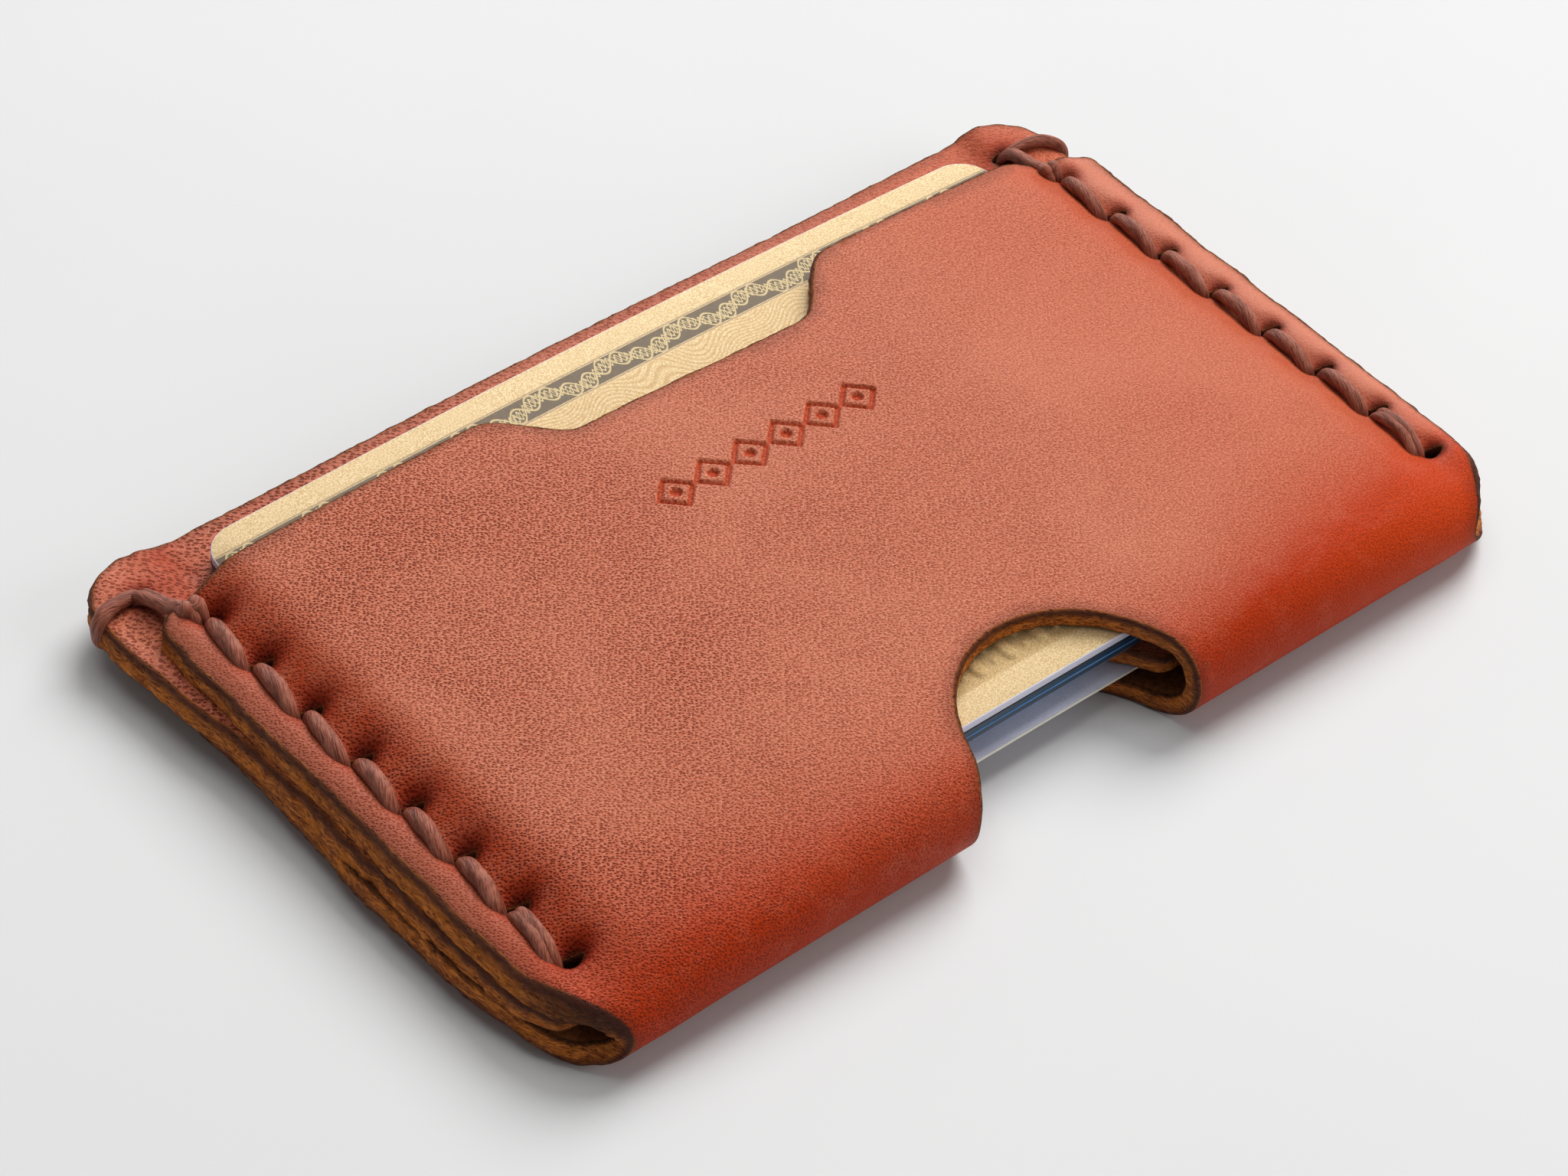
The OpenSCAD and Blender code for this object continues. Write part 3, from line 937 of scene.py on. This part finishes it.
def make_divider():
    rims = divider_rims()
    points = filled(rims, 1.5, (0.5, lambda p: (np.abs(p[:, 0]) > 43.0) & (p[:, 1] > 52.0)))

    def shading(flat):
        return leather_shading(flat, flat[:, 1])

    faces = [DIVIDER_GRAIN, EDGE, FLESH]
    piece = sheet("leather_divider", rims, points, divider_surface, faces, shading)
    attach(piece, "holder", "divider")


make_shell()
make_divider()

# ---------------- thread

THREAD_R = 0.72
THREAD_SIDES = 18
PLY_TURN = 12.0


def rounded_path(points, spacing):
    """A smooth line through the given points, at an even spacing."""
    points = np.asarray(points, float)
    padded = np.vstack([2 * points[0] - points[1], points, 2 * points[-1] - points[-2]])
    pieces = []
    t = np.linspace(0, 1, 12, endpoint=False)[:, None]
    for a, b, c, d in zip(padded, padded[1:], padded[2:], padded[3:]):
        pieces.append(0.5 * (2 * b + (c - a) * t + (2 * a - 5 * b + 4 * c - d) * t ** 2
                             + (3 * b - a - 3 * c + d) * t ** 3))
    return resample(np.vstack([*pieces, points[-1:]]), spacing, closed=False)


def strand(path, radius, phase):
    """A tube of two twisted plies round a path of (x, h, z): its vertices, faces, UVs and ply
    valleys. It is thinner at its ends, where it goes into the leather."""
    path = rounded_path(path, 0.22) + [0, FOLD_Y, 0]
    count = len(path)
    along = np.gradient(path, axis=0)
    along /= np.linalg.norm(along, axis=1, keepdims=True)
    sides = [np.cross(along[0], [0.31, 0.17, 0.93])]
    for direction in along:
        side = sides[-1] - direction * (sides[-1] @ direction)
        sides.append(side / np.linalg.norm(side))
    sides = np.array(sides[1:])
    ups = np.cross(along, sides)
    travelled = np.concatenate([[0], np.cumsum(np.linalg.norm(np.diff(path, axis=0), axis=1))])
    around = np.linspace(0, 2 * math.pi, THREAD_SIDES, endpoint=False)
    twist = 2 * math.pi * travelled / PLY_TURN + phase
    turned = around - twist[:, None]
    lobes = np.abs(np.cos(turned))
    size = radius * (0.9 + 0.14 * lobes ** 0.7)
    size = size * (1 + 0.035 * np.sin(travelled * 2.1 + phase))[:, None]
    size = size * (0.72 + 0.36 * np.sin(np.linspace(0, math.pi, count)).clip(0) ** 0.8)[:, None]
    spokes = np.cos(around)[:, None] * sides[:, None] + np.sin(around)[:, None] * ups[:, None]
    rings = path[:, None] + size[:, :, None] * spokes
    index = np.arange(count * THREAD_SIDES).reshape(count, THREAD_SIDES)
    after = np.roll(index, -1, axis=1)
    quads = np.stack([index[:-1], after[:-1], after[1:], index[1:]], axis=-1).reshape(-1, 4)
    faces = [*quads.tolist(), index[0, ::-1].tolist(), index[-1].tolist()]
    lay = turned / (2 * math.pi)
    uv = np.stack([np.broadcast_to(travelled[:, None], lay.shape), lay], axis=-1).reshape(-1, 2)
    return rings.reshape(-1, 3), faces, uv, (1 - lobes.ravel()) ** 2.5


def stitch_path(x, start_h, end_h, start_z, end_z, lift, sway, face=1, dive=1.5):
    """From inside one hole, over the leather and down into the next. face is -1 on the back."""
    line = [
        (-0.5, 0.02, -dive), (-0.5, 0.05, -0.35), (-0.4 + 0.5 * sway, 0.15, 0.5 * lift),
        (-0.05 + sway, 0.36, lift), (0.2 + sway, 0.62, 0.95 * lift),
        (0.42 + 0.5 * sway, 0.83, 0.4 * lift), (0.5, 0.93, -0.5), (0.5, 0.95, -dive),
    ]
    return [(x + shift, start_h + (end_h - start_h) * share,
             start_z + (end_z - start_z) * share + face * rise) for shift, share, rise in line]


def thread_strands(side):
    """Every visible run of one side's thread, as (path of (x, h, z), radius, phase)."""
    x = side * SEAM_X - 0.25
    thick = THREAD_R * (0.86 if side > 0 else 1.0)
    rng = np.random.default_rng(40 + side)
    runs = []
    stitches = [(hole_height(i), hole_height(i + 1)) for i in range(HOLE_COUNT - 2)]

    def top_z(h):
        return float(front_top(x, h) - pull(x, h))

    def low_z(h):
        return float(back_low(x, h) + pull(x, h))

    def run(path, share):
        runs.append((path, thick * share, rng.uniform(0, 6)))

    for index, (low, high) in enumerate(stitches):
        sway = -0.12 + rng.uniform(-0.12, 0.12)
        lift = 0.68 + rng.uniform(-0.06, 0.08)
        levels = top_z(low) + 0.35, top_z(high) + 0.35
        if index == 0:  # doubled
            for offset, more in ((-0.42, 0.0), (0.42, 0.1)):
                across, leaning = x + offset * 0.9, sway - offset * 0.35
                run(stitch_path(across, low, high, *levels, lift * 0.95 + more, leaning), 0.8)
        else:
            run(stitch_path(x, low, high, *levels, lift, sway), 1.0)
    for low, high in stitches:
        sway = rng.uniform(-0.15, 0.15)
        run(stitch_path(x, low, high, low_z(low) - 0.25, low_z(high) - 0.25, 0.3, sway, -1), 0.92)

    # Over the front panel's top edge into the divider's free hole, doubled and crossing
    low, high = hole_height(HOLE_COUNT - 2), FREE_HOLE_H
    free_x = FREE_HOLE_X[side]
    reach = free_x - x
    edge_h = FRONT_H - FRONT_CROWN
    front_z = top_z(low + 1.5)
    divider_z = float(divider_top(free_x, high))
    for offset, cross, over in ((-0.5, 0.5, 0), (0.5, -0.45, 1)):
        run([
            (x + 0.6 * offset, low + 0.25, front_z - 1.2),
            (x + 0.8 * offset, low + 0.6, front_z + 0.1),
            (x + offset, low + 1.6, front_z + 0.75),
            (x + 0.8 * offset + 0.25 * reach, edge_h - 0.2, front_z + 0.6),
            (x + 0.3 * cross + 0.6 * reach, edge_h + 1.5, front_z - 0.1 + 0.3 * over),
            (free_x + cross * 0.6, high - 1.2, divider_z + 0.6 + 0.25 * over),
            (free_x + cross, high - 0.3, divider_z),
            (free_x + cross * 0.8, high + 0.1, divider_z - 1.2),
        ], 0.86)

    # Round the divider's side edge, from the free hole to its underside
    edge_x = side * (DIVIDER_HALF_W + (1.2 if side < 0 else -0.5))
    drop = 0.7 if side < 0 else 2.2
    under = divider_z - LEATHER - 0.5
    run([(free_x + out * (edge_x - free_x), high - down * drop, z) for out, down, z in (
        (-0.02, 0.0, divider_z - 0.9), (0.08, 0.1, divider_z + 0.15),
        (0.35, 0.16, divider_z + 0.42), (0.7, 0.34, divider_z + 0.4), (0.95, 0.75, divider_z),
        (1.03, 1.0, divider_z - 0.9), (0.93, 1.05, under + 0.1), (0.5, 0.6, under - 0.1),
        (0.0, 0.3, under + 0.1), (0.0, 0.1, under + 1.0))], 0.9)

    # From the back panel's highest hole over its top edge to the divider's underside
    back_z = low_z(low + 1.5)
    run([
        (x, low + 0.25, back_z + 1.2), (x, low + 0.6, back_z - 0.1), (x, low + 2.0, back_z - 0.5),
        (x, BACK_H - 0.1, back_z - 0.45), (x, BACK_H + 0.7, back_z + 0.6),
        (free_x, high - 0.25, under - 0.1), (free_x, high, under + 1.0),
    ], 0.9)
    return runs


def make_thread(name, side, node):
    vertices, faces, uvs, valleys = [], [], [], []
    start = 0
    for run in thread_strands(side):
        points, sides, uv, valley = strand(*run)
        vertices.append(points)
        faces += [[v + start for v in face] for face in sides]
        uvs.append(uv)
        valleys.append(valley)
        start += len(points)
    vertices = np.vstack(vertices)
    vertices[:, 2] = np.maximum(vertices[:, 2], 0.02)
    values = {"valley": np.concatenate(valleys)}
    piece = make_object(name, vertices, faces, [THREAD], [0] * len(faces), values)
    layer = piece.data.uv_layers.new(name="lay")
    corners = np.zeros(len(piece.data.loops), np.int32)
    piece.data.loops.foreach_get("vertex_index", corners)
    layer.data.foreach_set("uv", np.vstack(uvs)[corners].ravel().astype(np.float32))
    attach(piece, "holder", node)


make_thread("stitching_left", -1, "thread_left")
make_thread("stitching_right", 1, "thread_right")

# ---------------- card materials

BAND_AT = 3.9
BAND_HALF = 1.25
EMBOSS_Y = GOLD_LOW[1] + 4.7
EMBOSS_HALF = 1.9


def gold_print():
    """Metallic print: a plain sparkling margin, a framed band of loops, then fine wavy lines."""
    paint = Paint("gold_print", Specular_IOR_Level=0.4, Metallic=0.15)
    x, y = paint.axis("X"), paint.axis("Y")
    sparkle = paint.noise(7.0, 2.0, roughness=0.7)
    flake = paint.cells(5.5, output="Distance")
    gold = paint.mix(sparkle.ramp(0.38, 0.62), (196, 164, 114), (226, 202, 158))

    down = GOLD_HIGH[1] - y

    def line(centre, half):
        offset = abs(down - centre)
        return offset.fall(half, half + 0.07)

    def curve(middle, height, pitch, phase, half):
        wave = (x * (2 * math.pi / pitch) + phase).sine()
        offset = abs(down - middle - wave * height)
        return offset.fall(half, half + 0.12)

    band = abs(down - BAND_AT).fall(BAND_HALF, BAND_HALF + 0.1)
    arch = (x * (2 * math.pi / 7.7)).sine() * 0.5
    loops = curve(arch + BAND_AT, 0.5, 0.9, 0.0, 0.05)
    for height, pitch, phase in (
            (0.5, 0.9, math.pi), (0.28, 0.55, 0.5), (0.9, 3.85, 0.0), (0.9, 3.85, math.pi)):
        loops = paint.math("MAXIMUM", loops, curve(arch + BAND_AT, height, pitch, phase, 0.05))
    field = down.ramp(BAND_AT + BAND_HALF + 0.3, BAND_AT + BAND_HALF + 0.5)
    margin = down.ramp(46.5, 46.7)
    field = field * (1.0 - margin)
    bent = down + (x * 0.9).sine() * 0.9 + (x * 0.31 + down * 0.4).sine() * 1.3
    ripples = (bent * 11.0).sine().ramp(-0.2, 0.7)
    paint.base(field * ripples * 0.42, gold, (176, 132, 66))
    paint.coat(band, (108, 94, 76))
    paint.coat(band * loops * 0.75, (222, 198, 146))
    for centre in (BAND_AT - BAND_HALF - 0.2, BAND_AT + BAND_HALF + 0.2):
        paint.coat(line(centre, 0.04) * 0.8, (150, 130, 104))
    # Darker gold over the embossed row: painted shade standing in for the shading on the flanks of
    # the raised characters.
    up = abs(y - EMBOSS_Y)
    emboss_shade = up.fall(EMBOSS_HALF, EMBOSS_HALF + 0.3)
    paint.coat(emboss_shade * flake.ramp(0.1, 0.5, 0.7, 0.3), (150, 108, 24))
    roughness = flake.ramp(0.1, 0.6, 0.42, 0.58)
    return paint.finish(roughness, sparkle, 0.012)


def card_face(name, base, tint):
    """Laminated print with a soft marbled tint and fine diagonal lines."""
    paint = Paint(name, Specular_IOR_Level=0.5, Coat_Weight=0.4, Coat_Roughness=0.15)
    cloud = paint.noise(0.07, 3.0, warp=1.2)
    along = paint.axis("X") + paint.axis("Y") * 0.6 + cloud * 9.0
    stripes = (along * 4.2).sine().ramp(0.55, 0.95)
    paint.base(cloud.ramp(0.35, 0.65), base, tint)
    paint.coat(stripes * 0.18, (220, 230, 240))
    grain = paint.noise(4.0, 2.0)
    return paint.worn(grain, 0.3, 0.4, grain, 0.006)


def card_side(name, core, skin):
    """The cut edge of a laminated card: a core between two thin skins."""
    paint = Paint(name, Specular_IOR_Level=0.5)
    from_middle = abs(paint.value("depth") - 0.5)
    dirt = paint.noise(1.6, 3.0, paint.drawn_out(4.0, 4.0, 0.33))
    paint.base(from_middle.ramp(0.3, 0.42), core, skin)
    paint.coat(dirt.ramp(0.55, 0.75, 0.0, 0.18), (60, 60, 66))
    return paint.worn(dirt, 0.32, 0.45, dirt, 0.02)


def paper_face():
    """Uncoated lavender-grey stock with fine fibres."""
    paint = Paint("card_stock", Specular_IOR_Level=0.25)
    fibre = paint.noise(5.0, 4.0, roughness=0.7)
    cloud = paint.noise(0.2, 2.0)
    share = (fibre * 0.5 + cloud * 0.5).ramp(0.4, 0.6)
    paint.base(share, (206, 204, 222), (220, 220, 234))
    return paint.worn(fibre, 0.6, 0.75, fibre, 0.02)


def chip_metal():
    """Gold-plated contacts with brushed grain and slight wear."""
    paint = Paint("chip_contacts", Metallic=0.35)
    brush = paint.noise(3.0, 4.0, paint.drawn_out(3.3, 0.17))
    wear = paint.noise(1.1, 3.0)
    paint.base(brush.ramp(0.3, 0.7), (214, 178, 98), (240, 212, 140))
    return paint.worn(wear, 0.22, 0.38, brush, 0.01)


def stripe_coat():
    """Magnetic coating: near black, satin, with fine scratches along the swipe."""
    paint = Paint("magnetic_stripe", Specular_IOR_Level=0.4)
    scratch = paint.noise(1.4, 4.0, paint.drawn_out(8.0, 0.11))
    paint.base(scratch.ramp(0.4, 0.75), (24, 22, 22), (48, 44, 44))
    return paint.worn(scratch, 0.35, 0.5, scratch, 0.01)


def signature_coat():
    """Writable panel: matt off-white with a fine diagonal security pattern."""
    paint = Paint("signature_panel", Specular_IOR_Level=0.2)
    lines = ((paint.axis("X") + paint.axis("Y")) * 8.0).sine().ramp(0.2, 0.8)
    tooth = paint.noise(6.0, 3.0)
    paint.base(lines * 0.35, (226, 224, 214), (170, 182, 190))
    return paint.worn(tooth, 0.75, 0.9, tooth, 0.02)


# ---------------- cards


def round_outline(low, high, radius, spacing):
    """A rectangle between two corners, with round corners, anticlockwise."""
    quarters = []
    for x, y, start in ((high[0] - radius, low[1] + radius, -90),
                        (high[0] - radius, high[1] - radius, 0),
                        (low[0] + radius, high[1] - radius, 90),
                        (low[0] + radius, low[1] + radius, 180)):
        turn = np.radians(start + np.linspace(0, 90, 10))
        quarters.append(np.column_stack([x + radius * np.cos(turn), y + radius * np.sin(turn)]))
    return resample(np.vstack(quarters), spacing)


EMBOSS_RISE = 0.24
EMBOSS_HALF_W = 34.0
BEAD_PITCH = 1.7


def embossing(x, y):
    """A raised row of beads above the card's lower edge, a large one and a small one in turn."""
    v = np.abs(y - EMBOSS_Y)
    cell, u = np.divmod(x + 200, BEAD_PITCH)
    u = u - BEAD_PITCH / 2
    large = np.hypot(u, np.maximum(v - EMBOSS_HALF + 1.0, 0)) - 0.62
    small = np.hypot(u, v - 0.75) - 0.3
    gap = np.where(cell % 2 == 0, large, small)
    return EMBOSS_RISE * (1 - step(-0.25, 0.12, gap)) * (np.abs(x) < EMBOSS_HALF_W)


def emboss_zone(points):
    """Where the beads are, on the pattern."""
    away = np.abs(points - [0, EMBOSS_Y])
    return (away < [EMBOSS_HALF_W + 0.5, EMBOSS_HALF + 0.4]).all(axis=1)


def bowed(z, thickness, relief=None):
    """A surface function for a card that lies at height z."""
    def surface(points, depth):
        x, y = points.T
        level = z + bow(x) + thickness * (1 - depth)
        if relief is not None:
            level = level + relief(x, y) * (depth < 0.5)
        return np.column_stack([x, y, level])
    return surface


def make_card(body, slot, z, thickness, radius, materials, relief=None, *finer):
    low, high = node_box(body)
    rims = [Rim(round_outline(low[:2] + 0.09, high[:2] - 0.09, radius, 0.9), CARD_EDGE)]
    surface = bowed(z, thickness, relief)
    piece = sheet(body + "_body", rims, filled(rims, 2.2, *finer), surface, materials)
    attach(piece, body, body)


def make_cards():
    core = card_side("white_core", (206, 204, 220), (214, 212, 226))
    back = card_face("gold_card_back", (196, 172, 116), (220, 200, 150))
    make_card("gold_card", "gold_plastic", GOLD_Z, PLASTIC, CARD_CORNER_R,
              [gold_print(), core, back], embossing, (0.2, emboss_zone))
    for hue, z, base, tint, core, skin in (
            ("navy", NAVY_Z, (14, 40, 62), (24, 62, 88), (20, 52, 74), (12, 22, 34)),
            ("blue", BLUE_Z, (92, 148, 190), (66, 122, 170), (38, 50, 66), (70, 140, 206))):
        face, side = card_face(hue + "_print", base, tint), card_side(hue + "_side", core, skin)
        make_card(hue + "_card", hue + "_plastic", z, PLASTIC, CARD_CORNER_R, [face, side, face])

    stock = paper_face()
    side = card_side("stock_side", (226, 220, 204), (206, 202, 200))
    make_card("paper_card", "card_paper", PAPER_Z, PAPER, 0.4, [stock, side, stock])


def make_chip():
    """Contact pads with grooves between them, on the top card."""
    low, high = node_box("gold_card_chip")
    centre = (low + high) / 2
    pad = (high - low) / 6

    def grooves(x, y):
        u, v = np.abs(x - centre[0]), np.abs(y - centre[1])
        core = np.abs(np.hypot(np.maximum(u - 1.1, 0), np.maximum(v - 1.6, 0)) - 0.7)
        rows = np.minimum(np.abs(v - pad[1]), v + 9 * (u < pad[0]))
        rows = np.where(u > 1.8, rows, 9.0)
        middle = np.where(v > 2.3, u, 9.0)
        gap = np.minimum(np.minimum(core, rows), middle)
        return -0.035 * (1 - step(0.08, 0.2, gap))

    rims = [Rim(round_outline(low, high, 1.6, 0.35), CHIP_EDGE)]
    surface = bowed(GOLD_Z + PLASTIC + 0.005, 0.05, grooves)
    piece = sheet("gold_card_contacts", rims, filled(rims, 0.24), surface, [chip_metal()] * 3)
    attach(piece, "gold_card", "gold_card_chip")


def make_coat(name, node, material, radius):
    """A thin coat on the top card's underside."""
    low, high = node_box(node)
    rims = [Rim(round_outline(low + [0.15, 0, 0], high - [0.15, 0, 0], radius, 0.8), COAT_EDGE)]
    surface = bowed(GOLD_Z - 0.012, 0.016)
    piece = sheet(name, rims, filled(rims, 1.8), surface, [material] * 3)
    attach(piece, "gold_card", node)


make_cards()
make_chip()
make_coat("gold_card_magnetic_stripe", "gold_card_stripe", stripe_coat(), 0.2)
make_coat("gold_card_signature_panel", "gold_card_signature", signature_coat(),
          0.6)

# ---------------- floor and light

FLOOR_REACH = 3.0
WORLD_LIGHT = 0.17


def add_floor():
    mesh = bpy.data.meshes.new("floor")
    corners = np.array([(-1, -1, 0), (1, -1, 0), (1, 1, 0), (-1, 1, 0)]) * FLOOR_REACH
    mesh.from_pydata(corners.tolist(), [], [(0, 1, 2, 3)])
    paint = Paint("floor", Specular_IOR_Level=0.2)
    mottle = paint.noise(0.01, 2.0).ramp(0.3, 0.7)
    paint.base(mottle, (214, 214, 214), (217, 217, 217))
    mesh.materials.append(paint.finish(0.7))
    add_object("floor", mesh)


def add_light(name, place, size, power, glossy=True, diffuse=True):
    """A disk lamp that faces the holder. glossy and diffuse say which kinds of light it gives."""
    data = bpy.data.lights.new(name, "AREA")
    data.shape = "DISK"
    data.size = size
    data.energy = power
    light = add_object(name, data)
    light.location = place
    light.rotation_mode = "QUATERNION"
    light.rotation_quaternion = (-Vector(place)).to_track_quat("-Z", "Y")
    light.visible_glossy = glossy
    light.visible_diffuse = diffuse


def add_world():
    world = bpy.data.worlds.new("studio")
    world.use_nodes = True
    background = world.node_tree.nodes["Background"]
    background.inputs["Color"].default_value = (1, 1, 1, 1)
    background.inputs["Strength"].default_value = WORLD_LIGHT
    bpy.context.scene.world = world


add_floor()
add_world()
add_light("key", (0.85, 0.36, 0.95), 0.95, 18.5, glossy=False)
add_light("fill", (0.55, -0.85, 0.42), 0.9, 4.0, glossy=False)
add_light("top", (0.1, 0.3, 1.3), 1.1, 5.5, glossy=False)
add_light("sheen", (0.66, 0.86, 0.66), 0.7, 7.0, diffuse=False)
bpy.context.scene.view_settings.view_transform = "Standard"
